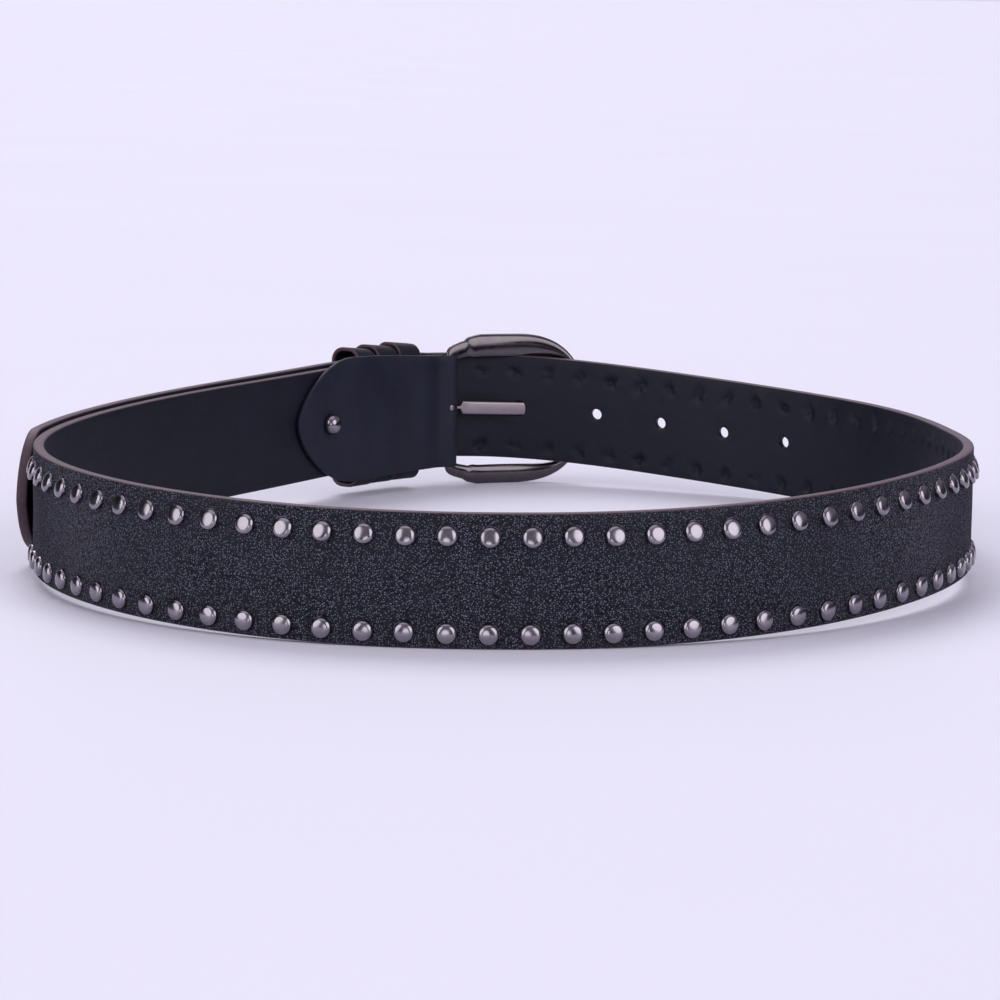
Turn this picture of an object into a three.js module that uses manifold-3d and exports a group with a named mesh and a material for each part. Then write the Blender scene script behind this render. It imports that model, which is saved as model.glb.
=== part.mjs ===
// A studded leather belt, buckled into a loop and standing on its edge.
// Millimetres, +Z up. Seen from the front, +X is right and +Y is away. The buckle is at the back of the loop.

import * as THREE from 'three';
import { mergeVertices } from 'three/addons/utils/BufferGeometryUtils.js';
import Module from 'manifold-3d';

const wasm = await Module();
wasm.setup();

const GAP = 0.3;                  // clearance between pieces that touch on the real belt

// Strap. Places along the belt are measured along the loop from its start, which is just before the buckle.
const STRAP_WIDTH = 38;
const STRAP_THICK = 3.4;
const STRAP_START = 10.3;         // the strap's buckle end
const SKIVE_END = 46.3;           // its outer side is skived up to here, for the tab's outer leg
const SKIVE_STEPS = 6;
const SKIVE_FACE = -0.2;          // where the skived face lies, out from the strap's middle
const TAIL_LENGTH = 260.5;        // the tip's place on the second lap, outside the first one
const TIP_LENGTH = 18.5;          // length of the bluntly pointed tip
const TIP_FULLNESS = 0.8;

// Studs: two rows of domes along the outer face
const STUD_RADIUS = 2.75;
const STUD_HEIGHT = 2;
const STUD_FLAT_RADIUS = 1.9;     // where the steep rim turns into the flatter dome
const STUD_RIM_HEIGHT = 1.55;
const STUD_SINK = 0.6;
const STUD_SIDES = 10;
const STUD_PITCH = 11.58;
const STUD_ROWS = [4.4, 31.6];    // heights of the rows above the strap's lower edge
const STUD_FIRST = 270;           // the first stud's place
const STUD_FREE_TIP = 28;         // length without studs at the tip

// Prong holes, measured back from the loop's start
const HOLE_RADIUS = 2.2;
const HOLE_PITCH = 25.07;
const HOLE_FIRST = 23.5;
const HOLE_COUNT = 5;
const HOLE_SIDES = 14;

// Places of a pointed end's stations, as shares of the point's length from its tip
const POINT_SHARES = [0.01, 0.06, 0.16, 0.3, 0.48, 0.72, 1];

// Buckle frame, seen square on: u runs from the heel bar to the far bar, v is up
const BAR_AT = 6;                 // heel bar, past the loop's start
const FAR_BAR_BACK = 40;          // far bar, before the loop's start
const FRAME_HALF_HEIGHT = 27.5;
const FRAME_THICK = 3.4;
const FRAME_BOW = 3.6;            // how far the arms bow outwards between the bars
const HEEL_BAR_WIDTH = 3.6;
const FAR_BAR_WIDTH = 4.4;
const FAR_BAR_CLEAR = 0.8;        // between the far bar and the studs that pass under it
const OPENING_HALF_HEIGHT = 21.8;
const FRAME_SQUARENESS = { heel: 6.5, far: 2.6 };     // exponents of the outline's two halves
const OPENING_SQUARENESS = { heel: 60, far: 4.6 };
const FRAME_STEPS = 48;
const SECTION_SIDES = 8;

// Prong, a flat strip rolled round the heel bar
const PRONG_THICK = 1.6;
const PRONG_WIDTH = 4.2;
const PRONG_BORE = 2.3;           // radius of its roll's bore
const PRONG_HEIGHT = 1.6;         // its roll's height above the frame's middle
const PRONG_FALL = 0.043;         // and how much it falls for each millimetre towards its tip
const PRONG_PAST_BAR = 3;         // how far its tip reaches past the far bar's middle
const PRONG_LEVEL = 3;            // how far it runs level before it slants outwards
const PRONG_STEPS = 12;

// Folded tab that holds the buckle
const TAB_THICK = 1.6;
const TAB_END = 90.4;             // the inner leg's point
const TAB_POINT_LENGTH = 30;
const TAB_FULLNESS = 0.62;
const TAB_FOLD_STEPS = 8;
const TAB_CLEAR = 0.5;            // between the strap and the inner leg, which bend along different chords
const TAB_OUTER_END = 46;         // the outer leg's end, let into the strap's outer face
const TAB_HALF_WIDTH = { fold: 20.4, shoulder: 22.2 };
const TAB_SLOT_MARGIN = 0.4;      // round the prong's roll
const TAB_SLOT_SIDES = 24;
const TAB_DROP = 1.3;             // the tab's middle hangs this much below the strap's middle at the fold
const TAB_CLIMB = 0.03;           // and climbs by this much for each millimetre of the inner leg

// Rivet through the tab's point and the strap
const RIVET_AT = 72.4;
const RIVET_RADIUS = 3.3;
const RIVET_HEIGHT = 2;
const RIVET_SHANK = 1.4;
const RIVET_SIDES = 16;
const RIVET_CAP_RADIUS = 2.4;     // the cap at its far end, let into the strap's outer face
const RIVET_CAP = { from: 0.5, to: 1.5 };             // its two faces, out from the strap's middle

// Keepers
const KEEPER_STARTS = [44.6, 33, 21.4];
const KEEPER_WIDTH = 9;
const KEEPER_THICK = 1.4;
const KEEPER_HALF_HEIGHT = 24.75;
const KEEPER_DROP = 0.5;
const KEEPER_CORNER = 5;

// The loop seen from above: control points of a closed cubic spline along the middle of the leather, and the
// height of the strap's lower edge above the surface. It starts at the buckle and runs by the left, the front
// and the right.
const LOOP = [
  { x: -20.8, y: 184.8, lift: 11.1 },
  { x: -72.1, y: 99.5, lift: 8.2 },
  { x: -115.6, y: 38.0, lift: 6.9 },
  { x: -152.8, y: -43.9, lift: 3.1 },
  { x: -126.3, y: -126.8, lift: 2.3 },
  { x: -60.2, y: -179.0, lift: 0.2 },
  { x: 34.3, y: -179.7, lift: -0.4 },
  { x: 103.6, y: -138.3, lift: 2.3 },
  { x: 147.1, y: -68.0, lift: 5.8 },
  { x: 146.8, y: 16.8, lift: 1.8 },
  { x: 136.8, y: 112.6, lift: -0.3 },
  { x: 66.8, y: 151.7, lift: 4.9 },
];
const LOOP_SAMPLES = 200;         // samples of the spline for each control point

// How the strap's second lap lies on the first one: its distance out and its rise
const OVER_WRAP = PRONG_BORE + TAB_THICK + STRAP_THICK / 2 + 2 * GAP;
const OVER_STRAP = STRAP_THICK + 0.5;
const LAP = [
  { at: -150, out: 0, rise: 0 },
  { at: -2, out: OVER_WRAP, rise: 0.2 },
  { at: 9, out: OVER_WRAP, rise: 0.4 },
  { at: 20, out: OVER_STRAP, rise: 1.2 },
  { at: 225, out: OVER_STRAP, rise: 0.9 },
  { at: 262, out: STRAP_THICK + STUD_HEIGHT + 0.4, rise: 0 },
];

// Materials
const leather = { color: 0x17181f, roughness: 0.62, metalness: 0 };
const gunmetal = { color: 0x8d8892, roughness: 0.28, metalness: 1 };
const blackNickel = { color: 0x3b3a42, roughness: 0.18, metalness: 1 };
const satinNickel = { color: 0x8f8790, roughness: 0.4, metalness: 1 };

// Loop geometry

function splinePoint(t) {
  const i = Math.floor(t);
  const f = t - i;
  const weights = [(1 - f) ** 3, 3 * f ** 3 - 6 * f ** 2 + 4, -3 * f ** 3 + 3 * f ** 2 + 3 * f + 1, f ** 3];
  const point = { x: 0, y: 0, lift: 0 };
  weights.forEach((weight, k) => {
    const control = LOOP[(i + k - 1 + LOOP.length) % LOOP.length];
    for (const key of Object.keys(point)) point[key] += (weight / 6) * control[key];
  });
  return point;
}

const samples = [];
let travelled = 0;
for (let k = 0; k <= LOOP.length * LOOP_SAMPLES; k += 1) {
  const point = splinePoint(k / LOOP_SAMPLES);
  const last = samples[k - 1];
  if (last) travelled += Math.hypot(point.x - last.x, point.y - last.y);
  samples.push({ ...point, at: travelled });
}
const LOOP_LENGTH = travelled;

// A place on the first lap: point, outward normal and the height of the strap's lower edge
function onLoop(at) {
  const wrapped = ((at % LOOP_LENGTH) + LOOP_LENGTH) % LOOP_LENGTH;
  let low = 0;
  let high = samples.length - 1;
  while (high - low > 1) {
    const middle = (low + high) >> 1;
    if (samples[middle].at > wrapped) high = middle;
    else low = middle;
  }
  const a = samples[low];
  const b = samples[high];
  const length = b.at - a.at;
  const f = (wrapped - a.at) / length;
  return {
    x: THREE.MathUtils.lerp(a.x, b.x, f),
    y: THREE.MathUtils.lerp(a.y, b.y, f),
    nx: (b.y - a.y) / length,
    ny: -(b.x - a.x) / length,
    lift: Math.max(0, THREE.MathUtils.lerp(a.lift, b.lift, f)),
  };
}

// The second lap's distance from the first one and its rise
function lap(at) {
  const past = at - LOOP_LENGTH;
  if (past <= LAP[0].at) return { out: 0, rise: 0 };
  const next = LAP.findIndex((row) => row.at > past);
  if (next < 0) return LAP[LAP.length - 1];
  const a = LAP[next - 1];
  const b = LAP[next];
  const f = THREE.MathUtils.smoothstep(past, a.at, b.at);
  return { out: THREE.MathUtils.lerp(a.out, b.out, f), rise: THREE.MathUtils.lerp(a.rise, b.rise, f) };
}

// The point that lies `out` from the middle of the first lap
function place(at, out) {
  const p = onLoop(at);
  return new THREE.Vector2(p.x + p.nx * out, p.y + p.ny * out);
}

// The middle of the strap itself, which follows the laps
function strapPlace(at, out) {
  return place(at, lap(at).out + out);
}

function strapBottom(at) {
  return onLoop(at).lift + lap(at).rise;
}

function strapMiddle(at) {
  return strapBottom(at) + STRAP_WIDTH / 2;
}

function normalAt(at) {
  const p = onLoop(at);
  return new THREE.Vector3(p.nx, p.ny, 0);
}

// Solids

function closed(geometry) {
  geometry.deleteAttribute('normal');
  geometry.deleteAttribute('uv');
  return mergeVertices(geometry, 1e-4);
}

function solidOf(geometry) {
  const merged = closed(geometry);
  return new wasm.Manifold(
    new wasm.Mesh({
      numProp: 3,
      vertProperties: new Float32Array(merged.attributes.position.array),
      triVerts: new Uint32Array(merged.index.array),
    }),
  );
}

function geometryOf(solid) {
  const mesh = solid.getMesh();
  const geometry = new THREE.BufferGeometry();
  geometry.setAttribute('position', new THREE.BufferAttribute(new Float32Array(mesh.vertProperties), 3));
  geometry.setIndex(new THREE.BufferAttribute(new Uint32Array(mesh.triVerts), 1));
  return geometry;
}

function piece(name, geometry, finish) {
  geometry.computeVertexNormals();
  const mesh = new THREE.Mesh(geometry, new THREE.MeshStandardMaterial(finish));
  mesh.name = name;
  return mesh;
}

// Moves every vertex of a geometry by a function of its own coordinates
function reshape(geometry, toPoint) {
  const position = geometry.attributes.position;
  for (let k = 0; k < position.count; k += 1) {
    const [x, y, z] = toPoint(position.getX(k), position.getY(k), position.getZ(k));
    position.setXYZ(k, x, y, z);
  }
  return geometry;
}

// A strip of leather bent along a line of places. Each place gives a point, how far the strip's outer and
// inner faces lie from it, and the strip's lower and upper height.
function bentStrip(line) {
  const last = line.length - 1;
  const box = new THREE.BoxGeometry(1, 1, 1, last, 1, 1);
  return reshape(box, (x, y, z) => {
    const k = Math.round((x + 0.5) * last);
    const { point, outer, inner, low, high } = line[k];
    const before = line[Math.max(k - 1, 0)].point;
    const after = line[Math.min(k + 1, last)].point;
    const along = after.clone().sub(before).normalize();
    const inward = y > 0 ? inner : -outer;
    return [point.x - along.y * inward, point.y + along.x * inward, z > 0 ? high : low];
  });
}

// A turned shape whose axis points along `axis` from `origin`
function turned(profile, sides, origin, axis) {
  const lathe = new THREE.LatheGeometry(profile.map(([r, h]) => new THREE.Vector2(r, h)), sides);
  lathe.applyQuaternion(new THREE.Quaternion().setFromUnitVectors(new THREE.Vector3(0, 1, 0), axis));
  return lathe.translate(origin.x, origin.y, origin.z);
}

// Strap

// A blunt point's half width at a share of its length from the tip, as a share of its full half width
function pointShare(share, fullness) {
  return (1 - (1 - Math.min(1, share)) ** 1.6) ** fullness;
}

function strapLine() {
  const end = LOOP_LENGTH + TAIL_LENGTH;
  const places = [];
  for (let k = 0; k <= SKIVE_STEPS; k += 1) {
    places.push(THREE.MathUtils.lerp(STRAP_START, SKIVE_END, k / SKIVE_STEPS));
  }
  places.push(SKIVE_END + GAP);
  const firstColumn = Math.ceil((SKIVE_END - STUD_FIRST) / STUD_PITCH);
  for (let k = firstColumn; ; k += 1) {
    const at = STUD_FIRST + (k + 0.5) * STUD_PITCH;
    if (at > end - TIP_LENGTH - STUD_PITCH / 3) break;
    places.push(at);
  }
  places.push(...[...POINT_SHARES].reverse().map((share) => end - share * TIP_LENGTH));
  return places.map((at) => {
    const reach = (STRAP_WIDTH / 2) * pointShare((end - at) / TIP_LENGTH, TIP_FULLNESS);
    const middle = strapMiddle(at);
    const inner = STRAP_THICK / 2;
    const outer = at <= SKIVE_END ? SKIVE_FACE : inner;
    return { point: strapPlace(at, 0), outer, inner, low: middle - reach, high: middle + reach };
  });
}

function studs() {
  const profile = [
    [0, 0],
    [STUD_RADIUS + 0.15, 0],
    [STUD_FLAT_RADIUS, STUD_SINK + STUD_RIM_HEIGHT],
    [0, STUD_SINK + STUD_HEIGHT],
  ];
  const solids = [];
  for (let at = STUD_FIRST; at < LOOP_LENGTH + TAIL_LENGTH - STUD_FREE_TIP; at += STUD_PITCH) {
    const foot = strapPlace(at, STRAP_THICK / 2 - STUD_SINK);
    for (const row of STUD_ROWS) {
      const origin = new THREE.Vector3(foot.x, foot.y, strapBottom(at) + row);
      solids.push(solidOf(turned(profile, STUD_SIDES, origin, normalAt(at))));
    }
  }
  return solids;
}

function roundHole(at, height, radius, out, depth) {
  const p = place(at, out);
  const cutter = new THREE.CylinderGeometry(radius, radius, depth, HOLE_SIDES);
  cutter.applyQuaternion(new THREE.Quaternion().setFromUnitVectors(new THREE.Vector3(0, 1, 0), normalAt(at)));
  return solidOf(cutter.translate(p.x, p.y, height));
}

function strap() {
  let solid = solidOf(bentStrip(strapLine()));
  for (const stud of studs()) solid = solid.add(stud);
  for (let k = 1; k < HOLE_COUNT; k += 1) {
    const at = LOOP_LENGTH - HOLE_FIRST - k * HOLE_PITCH;
    solid = solid.subtract(roundHole(at, strapMiddle(at), HOLE_RADIUS, lap(at).out, 3 * STRAP_THICK));
  }
  solid = solid.subtract(solidOf(prongShape(GAP)));
  const rivetHeight = strapMiddle(RIVET_AT);
  solid = solid.subtract(roundHole(RIVET_AT, rivetHeight, RIVET_SHANK + GAP, 0, STRAP_THICK + GAP));
  const sink = STRAP_THICK / 2 + GAP - (RIVET_CAP.from - GAP);
  const sinkMiddle = RIVET_CAP.from - GAP + sink / 2;
  solid = solid.subtract(roundHole(RIVET_AT, rivetHeight, RIVET_CAP_RADIUS + GAP, sinkMiddle, sink));
  return piece('strap', geometryOf(solid), leather);
}

// Buckle: a flat frame in its own plane, carried to the belt by its two bars

const heelBar = place(BAR_AT, 0);
const farAt = LOOP_LENGTH - FAR_BAR_BACK;
const farBar = strapPlace(farAt, STRAP_THICK / 2 + STUD_HEIGHT + FAR_BAR_CLEAR + FRAME_THICK / 2);
const REACH = heelBar.distanceTo(farBar);
const across = farBar.clone().sub(heelBar).divideScalar(REACH);

// How far the frame's middle plane stands out between its two bars
function frameBow(u) {
  return FRAME_BOW * (1 - (2 * u / REACH - 1) ** 2);
}

// u along the frame, v up from its middle, w outwards
function buckleToWorld(u, v, w) {
  const x = heelBar.x + across.x * u - across.y * w;
  const y = heelBar.y + across.y * u + across.x * w;
  return [x, y, FRAME_HALF_HEIGHT + v];
}

// A point of a rounded outline at an angle
function outline(angle, reachHeel, reachFar, halfHeight, squareness) {
  const c = Math.cos(angle);
  const s = Math.sin(angle);
  const power = 2 / (c < 0 ? squareness.heel : squareness.far);
  const u = REACH / 2 + (c < 0 ? -reachHeel : reachFar) * Math.abs(c) ** power;
  return new THREE.Vector2(u, halfHeight * Math.sign(s) * Math.abs(s) ** power);
}

// A ring whose eight-sided section spans from the opening's outline to the frame's outer outline
function buckleFrame() {
  const heel = HEEL_BAR_WIDTH / 2;
  const far = FAR_BAR_WIDTH / 2;
  const middle = REACH / 2;
  const ring = new THREE.TorusGeometry(1, 0.5, SECTION_SIDES, FRAME_STEPS);
  reshape(ring, (x, y, z) => {
    const angle = Math.atan2(y, x);
    const outer = outline(angle, middle + heel, middle + far, FRAME_HALF_HEIGHT, FRAME_SQUARENESS);
    const inner = outline(angle, middle - heel, middle - far, OPENING_HALF_HEIGHT, OPENING_SQUARENESS);
    const p = inner.lerp(outer, Math.hypot(x, y) - 0.5);
    return buckleToWorld(p.x, p.y, frameBow(p.x) - z * FRAME_THICK);
  });
  return piece('buckle_frame', geometryOf(solidOf(ring)), blackNickel);
}

// The prong's middle line: inside the strap at the heel bar, outside the far bar at its tip
function prongMiddle(u) {
  const inside = -(PRONG_BORE + PRONG_THICK / 2);
  const barEdge = REACH - FAR_BAR_WIDTH / 2;
  const outside = frameBow(barEdge) + FRAME_THICK / 2 + GAP + PRONG_THICK / 2;
  return THREE.MathUtils.lerp(inside, outside, THREE.MathUtils.smoothstep(u, PRONG_LEVEL, barEdge - 1));
}

// The strip and its roll in one outline, `margin` larger all round where a hole has to clear it
function prongShape(margin) {
  const half = PRONG_THICK / 2 + margin;
  const rollRadius = PRONG_BORE + PRONG_THICK + margin;
  const inner = [];
  const outer = [];
  for (let k = 0; k <= PRONG_STEPS; k += 1) {
    const u = THREE.MathUtils.lerp(0, REACH + PRONG_PAST_BAR + margin, k / PRONG_STEPS);
    inner.push(new THREE.Vector2(u, prongMiddle(u) - half));
    outer.push(new THREE.Vector2(u, prongMiddle(u) + half));
  }
  const strip = extruded(new THREE.Shape([...inner, ...outer.reverse()]), PRONG_WIDTH + 2 * margin);
  const roll = new THREE.Shape().absarc(0, 0, rollRadius, 0, 2 * Math.PI);
  const bore = new THREE.Shape().absarc(0, 0, PRONG_BORE, 0, 2 * Math.PI);
  let solid = solidOf(strip).add(solidOf(extruded(roll, PRONG_WIDTH + 2 * margin)));
  if (margin === 0) solid = solid.subtract(solidOf(extruded(bore, 2 * PRONG_WIDTH)));
  return reshape(geometryOf(solid), (u, w, v) => buckleToWorld(u, v + PRONG_HEIGHT - PRONG_FALL * u, w));
}

function extruded(shape, depth) {
  return new THREE.ExtrudeGeometry(shape, { depth, steps: 1, bevelEnabled: false, curveSegments: 10 })
    .translate(0, 0, -depth / 2);
}

function prong() {
  return piece('prong', prongShape(0), satinNickel);
}

// Folded tab: point, inner leg over the keepers, fold round the heel bar, outer leg

const TAB_ON_STRAP = STRAP_THICK / 2 + TAB_CLEAR + TAB_THICK / 2;

function tabMiddle(at) {
  return onLoop(at).lift + STRAP_WIDTH / 2 - TAB_DROP;
}

// The fold's places, from its inner side round to its outer side
function tabFold(radius) {
  const n = normalAt(BAR_AT);
  const places = [];
  for (let k = 0; k <= TAB_FOLD_STEPS; k += 1) {
    const angle = Math.PI * (k / TAB_FOLD_STEPS - 0.5);
    const ahead = radius * Math.cos(angle);
    const out = radius * Math.sin(angle);
    const point = new THREE.Vector2(heelBar.x + n.y * ahead + n.x * out, heelBar.y - n.x * ahead + n.y * out);
    places.push({ point, half: TAB_HALF_WIDTH.fold, middle: tabMiddle(BAR_AT) });
  }
  return places;
}

function tabLine() {
  const foldRadius = PRONG_BORE + TAB_THICK / 2;
  const overKeepers = TAB_ON_STRAP + KEEPER_THICK + GAP;
  const tip = POINT_SHARES.map((share) => (
    { at: TAB_END - share * TAB_POINT_LENGTH, out: -TAB_ON_STRAP, fromEnd: share }
  ));
  const innerLeg = [
    ...[57, 49, 41, 33, 25, 18].map((at) => ({ at, out: -overKeepers })),
    { at: 11, out: -(foldRadius + overKeepers) / 2 },
  ];
  const outerLeg = [
    { at: BAR_AT + 3, out: foldRadius - 0.5 },
    ...[15, 22, 30, 38, TAB_OUTER_END].map((at) => ({ at, out: (STRAP_THICK - TAB_THICK) / 2 })),
  ];
  const legPlace = ({ at, out, fromEnd = 1 }) => {
    const spread = THREE.MathUtils.smoothstep(at, BAR_AT, TAB_END - TAB_POINT_LENGTH);
    const width = THREE.MathUtils.lerp(TAB_HALF_WIDTH.fold, TAB_HALF_WIDTH.shoulder, spread);
    const half = width * pointShare(fromEnd, TAB_FULLNESS);
    const climb = out < 0 ? TAB_CLIMB * (at - BAR_AT) : 0;
    return { point: place(at, out), half, middle: tabMiddle(at) + climb };
  };
  const places = [...[...tip, ...innerLeg].map(legPlace), ...tabFold(foldRadius), ...outerLeg.map(legPlace)];
  const face = TAB_THICK / 2;
  return places.map(({ point, half, middle }) => (
    { point, outer: face, inner: face, low: middle - half, high: middle + half }
  ));
}

function buckleTab() {
  let solid = solidOf(bentStrip(tabLine()));
  const slotRadius = PRONG_BORE + PRONG_THICK + TAB_SLOT_MARGIN;
  const slotHeight = PRONG_WIDTH + 2 * TAB_SLOT_MARGIN;
  const slot = new THREE.CylinderGeometry(slotRadius, slotRadius, slotHeight, TAB_SLOT_SIDES);
  reshape(slot, (u, v, w) => buckleToWorld(u, v + PRONG_HEIGHT, -w));
  solid = solid.subtract(solidOf(slot));
  const depth = TAB_THICK + 2 * GAP;
  solid = solid.subtract(roundHole(RIVET_AT, strapMiddle(RIVET_AT), RIVET_SHANK + GAP, -TAB_ON_STRAP, depth));
  return piece('buckle_tab', geometryOf(solid), leather);
}

function tabRivet() {
  const headAt = STRAP_THICK / 2 + TAB_CLEAR + TAB_THICK + GAP;
  const profile = [
    [0, -RIVET_CAP.to],
    [RIVET_CAP_RADIUS, -RIVET_CAP.to],
    [RIVET_CAP_RADIUS, -RIVET_CAP.from],
    [RIVET_SHANK, -RIVET_CAP.from],
    [RIVET_SHANK, headAt],
    [RIVET_RADIUS, headAt],
    [0.92 * RIVET_RADIUS, headAt + 0.5 * RIVET_HEIGHT],
    [0.62 * RIVET_RADIUS, headAt + 0.86 * RIVET_HEIGHT],
    [0, headAt + RIVET_HEIGHT],
  ];
  const p = place(RIVET_AT, 0);
  const origin = new THREE.Vector3(p.x, p.y, strapMiddle(RIVET_AT));
  const geometry = turned(profile, RIVET_SIDES, origin, normalAt(RIVET_AT).negate());
  return piece('tab_rivet', geometryOf(solidOf(geometry)), gunmetal);
}

// Keeper: a rounded band round the strap's two laps

function roundedBox(left, right, bottom, top, corner) {
  const shape = new THREE.Shape();
  shape.moveTo(left + corner, bottom);
  shape.lineTo(right - corner, bottom);
  shape.absarc(right - corner, bottom + corner, corner, -Math.PI / 2, 0);
  shape.lineTo(right, top - corner);
  shape.absarc(right - corner, top - corner, corner, 0, Math.PI / 2);
  shape.lineTo(left + corner, top);
  shape.absarc(left + corner, top - corner, corner, Math.PI / 2, Math.PI);
  shape.lineTo(left, bottom + corner);
  shape.absarc(left + corner, bottom + corner, corner, Math.PI, 1.5 * Math.PI);
  return shape;
}

function keeper(name, start) {
  const insideFace = -(STRAP_THICK / 2 + GAP + KEEPER_THICK);
  const outsideFace = OVER_STRAP + STRAP_THICK / 2 + STUD_HEIGHT + GAP + KEEPER_THICK;
  const middle = STRAP_WIDTH / 2 - KEEPER_DROP;
  const low = middle - KEEPER_HALF_HEIGHT;
  const high = middle + KEEPER_HALF_HEIGHT;
  const shape = roundedBox(insideFace, outsideFace, low, high, KEEPER_CORNER);
  const hollow = roundedBox(
    insideFace + KEEPER_THICK, outsideFace - KEEPER_THICK, low + KEEPER_THICK, high - KEEPER_THICK,
    KEEPER_CORNER - KEEPER_THICK,
  );
  shape.holes.push(hollow);
  const options = { depth: 1, steps: 1, bevelEnabled: false, curveSegments: 4 };
  const band = new THREE.ExtrudeGeometry(shape, options);
  const lift = onLoop(start + KEEPER_WIDTH / 2).lift;
  reshape(band, (out, up, share) => {
    const p = place(start + KEEPER_WIDTH * (1 - share), out);
    return [p.x, p.y, lift + up];
  });
  return piece(name, geometryOf(solidOf(band)), leather);
}

const belt = new THREE.Group();
belt.add(strap(), buckleTab(), tabRivet(), buckleFrame(), prong());
KEEPER_STARTS.forEach((start, k) => belt.add(keeper(`keeper_${k + 1}`, start)));

export default belt;
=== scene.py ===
# A studded black leather belt, buckled into a loop and standing on its edge.
# Sizes are in millimetres and reach Blender in metres, in the frame of the solid model: seen from the front, +X is
# right, +Y is away and +Z is up. The buckle is at the back of the loop.

import bisect
import math
import random

import bmesh
import bpy
from mathutils import Matrix, Vector, noise


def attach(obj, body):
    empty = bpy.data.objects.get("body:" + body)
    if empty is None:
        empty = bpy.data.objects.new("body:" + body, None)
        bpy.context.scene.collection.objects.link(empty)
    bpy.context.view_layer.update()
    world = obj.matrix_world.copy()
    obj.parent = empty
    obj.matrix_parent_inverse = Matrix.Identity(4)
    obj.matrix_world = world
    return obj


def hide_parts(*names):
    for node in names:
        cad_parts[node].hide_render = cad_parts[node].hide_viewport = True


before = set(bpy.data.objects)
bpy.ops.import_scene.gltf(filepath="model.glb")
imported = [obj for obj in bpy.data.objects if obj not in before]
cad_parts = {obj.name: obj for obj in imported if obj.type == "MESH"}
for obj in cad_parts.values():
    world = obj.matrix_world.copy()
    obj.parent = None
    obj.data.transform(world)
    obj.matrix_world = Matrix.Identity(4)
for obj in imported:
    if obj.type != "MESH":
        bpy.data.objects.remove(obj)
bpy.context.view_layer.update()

MM = 0.001
chance = random.Random(38)

GAP = 0.3                 # between neighbouring pieces

# Strap. Places along the belt are measured along the loop from its start, just before the buckle.
STRAP_WIDTH = 38
STRAP_THICK = 3.4
STRAP_START = 10.3        # the strap's buckle end
SKIVE_END = 46.3          # its outer side is skived up to here, for the tab's outer leg
SKIVE_FACE = -0.2         # where the skived face lies, out from the strap's middle
TAIL_LENGTH = 260.5       # the tip's place on the second lap
TIP_LENGTH = 18.5         # length of the bluntly pointed tip
TIP_FULLNESS = 0.8
STRAP_CORNER = 0.6        # rounding of the cut edges
EDGE_CROWN = 0.06         # how far a cut edge swells, as a share of its corner

# Studs: two rows of domes along the outer face
STUD_PITCH = 11.58
STUD_ROWS = (4.4, 31.6)   # heights of the rows above the strap's lower edge
STUD_FIRST = 270.55
STUD_FREE_TIP = 28        # length without studs at the tip
STUD_COLUMNS = 6          # strips of the leather's mesh under one stud
STUD_RADIUS = 2.92
STUD_HEIGHT = 2           # room that the other pieces leave for a stud
STUD_FLAT = 1.8           # radius of the nearly flat top
STUD_CROWN = 1.65         # height of its middle
STUD_TOP_CURVE = 9        # radius of curvature of the top
STUD_SHOULDER = 60        # slope at the foot of its rounded shoulder, in degrees
STUD_TURN = (4, 17)       # how far the lower and the upper row look up, in degrees
STUD_LOOSE = 1.8          # and how much single studs differ

# Prong holes, measured back from the loop's start
HOLE_RADIUS = 1.95
HOLE_PITCH = 25.07
HOLE_FIRST = 23.5
HOLE_COUNT = 5

# Buckle frame, seen square on: u runs from the heel bar to the far bar, v is up and w is outwards
BAR_AT = 6
FAR_BAR_BACK = 40
FRAME_HALF_HEIGHT = 27.5
FRAME_THICK = 3.4
FRAME_BOW = 3.6
HEEL_BAR_WIDTH = 3.6
FAR_BAR_WIDTH = 4.4
FAR_BAR_CLEAR = 0.8
OPENING_TOP = 18.9
OPENING_BOTTOM = 20.6
FRAME_SQUARENESS = {"heel": 16, "far": 2.6}
HEEL_TAPER = (14, 0.135)  # the heel end narrows over this length by this share
OPENING_SQUARENESS = {"heel": 60, "far": 4.6}
SHOULDER = (7.2, 8.8)     # where the arms step up to their full section, from the heel bar
SHOULDER_SHARE = 0.8      # the smaller section before it, as a share of the full one
FRAME_ROUNDNESS = (0.8, 0.9)  # powers that square the section across and through

# Prong
PRONG_THICK = 1.6
PRONG_WIDTH = 4.7
PRONG_ROLL = (2.1, 0.5, 2.6)   # its roll round the heel bar: radius, thickness and width
PRONG_NECK = (2.2, 3.0, 0.35)  # where it narrows past the roll, and the width that is left, as a share
PRONG_SPREAD = (4.8, 5.3)      # where it widens to its full width
PRONG_SWELL = (3, 8)           # where it comes to its full thickness
PRONG_BEAD = (0.6, 0.5, 1.2)   # how far the roll stands proud where it shows through the tab, its place and reach
PRONG_TIP = 1.6                # length of its rounded end
PRONG_ROUNDNESS = (0.35, 0.6)  # powers that square its section across and through
PRONG_LEAVES = 0.4        # how far outside the bar's middle it leaves the roll
PRONG_BORE = 2.3          # radius round the heel bar at which the tab folds over the roll
PRONG_HEIGHT = 1.15       # how far above the frame's middle it starts
PRONG_FALL = 0.043        # and how much it falls for each millimetre
PRONG_PAST_BAR = 3
PRONG_LEVEL = 4

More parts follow.
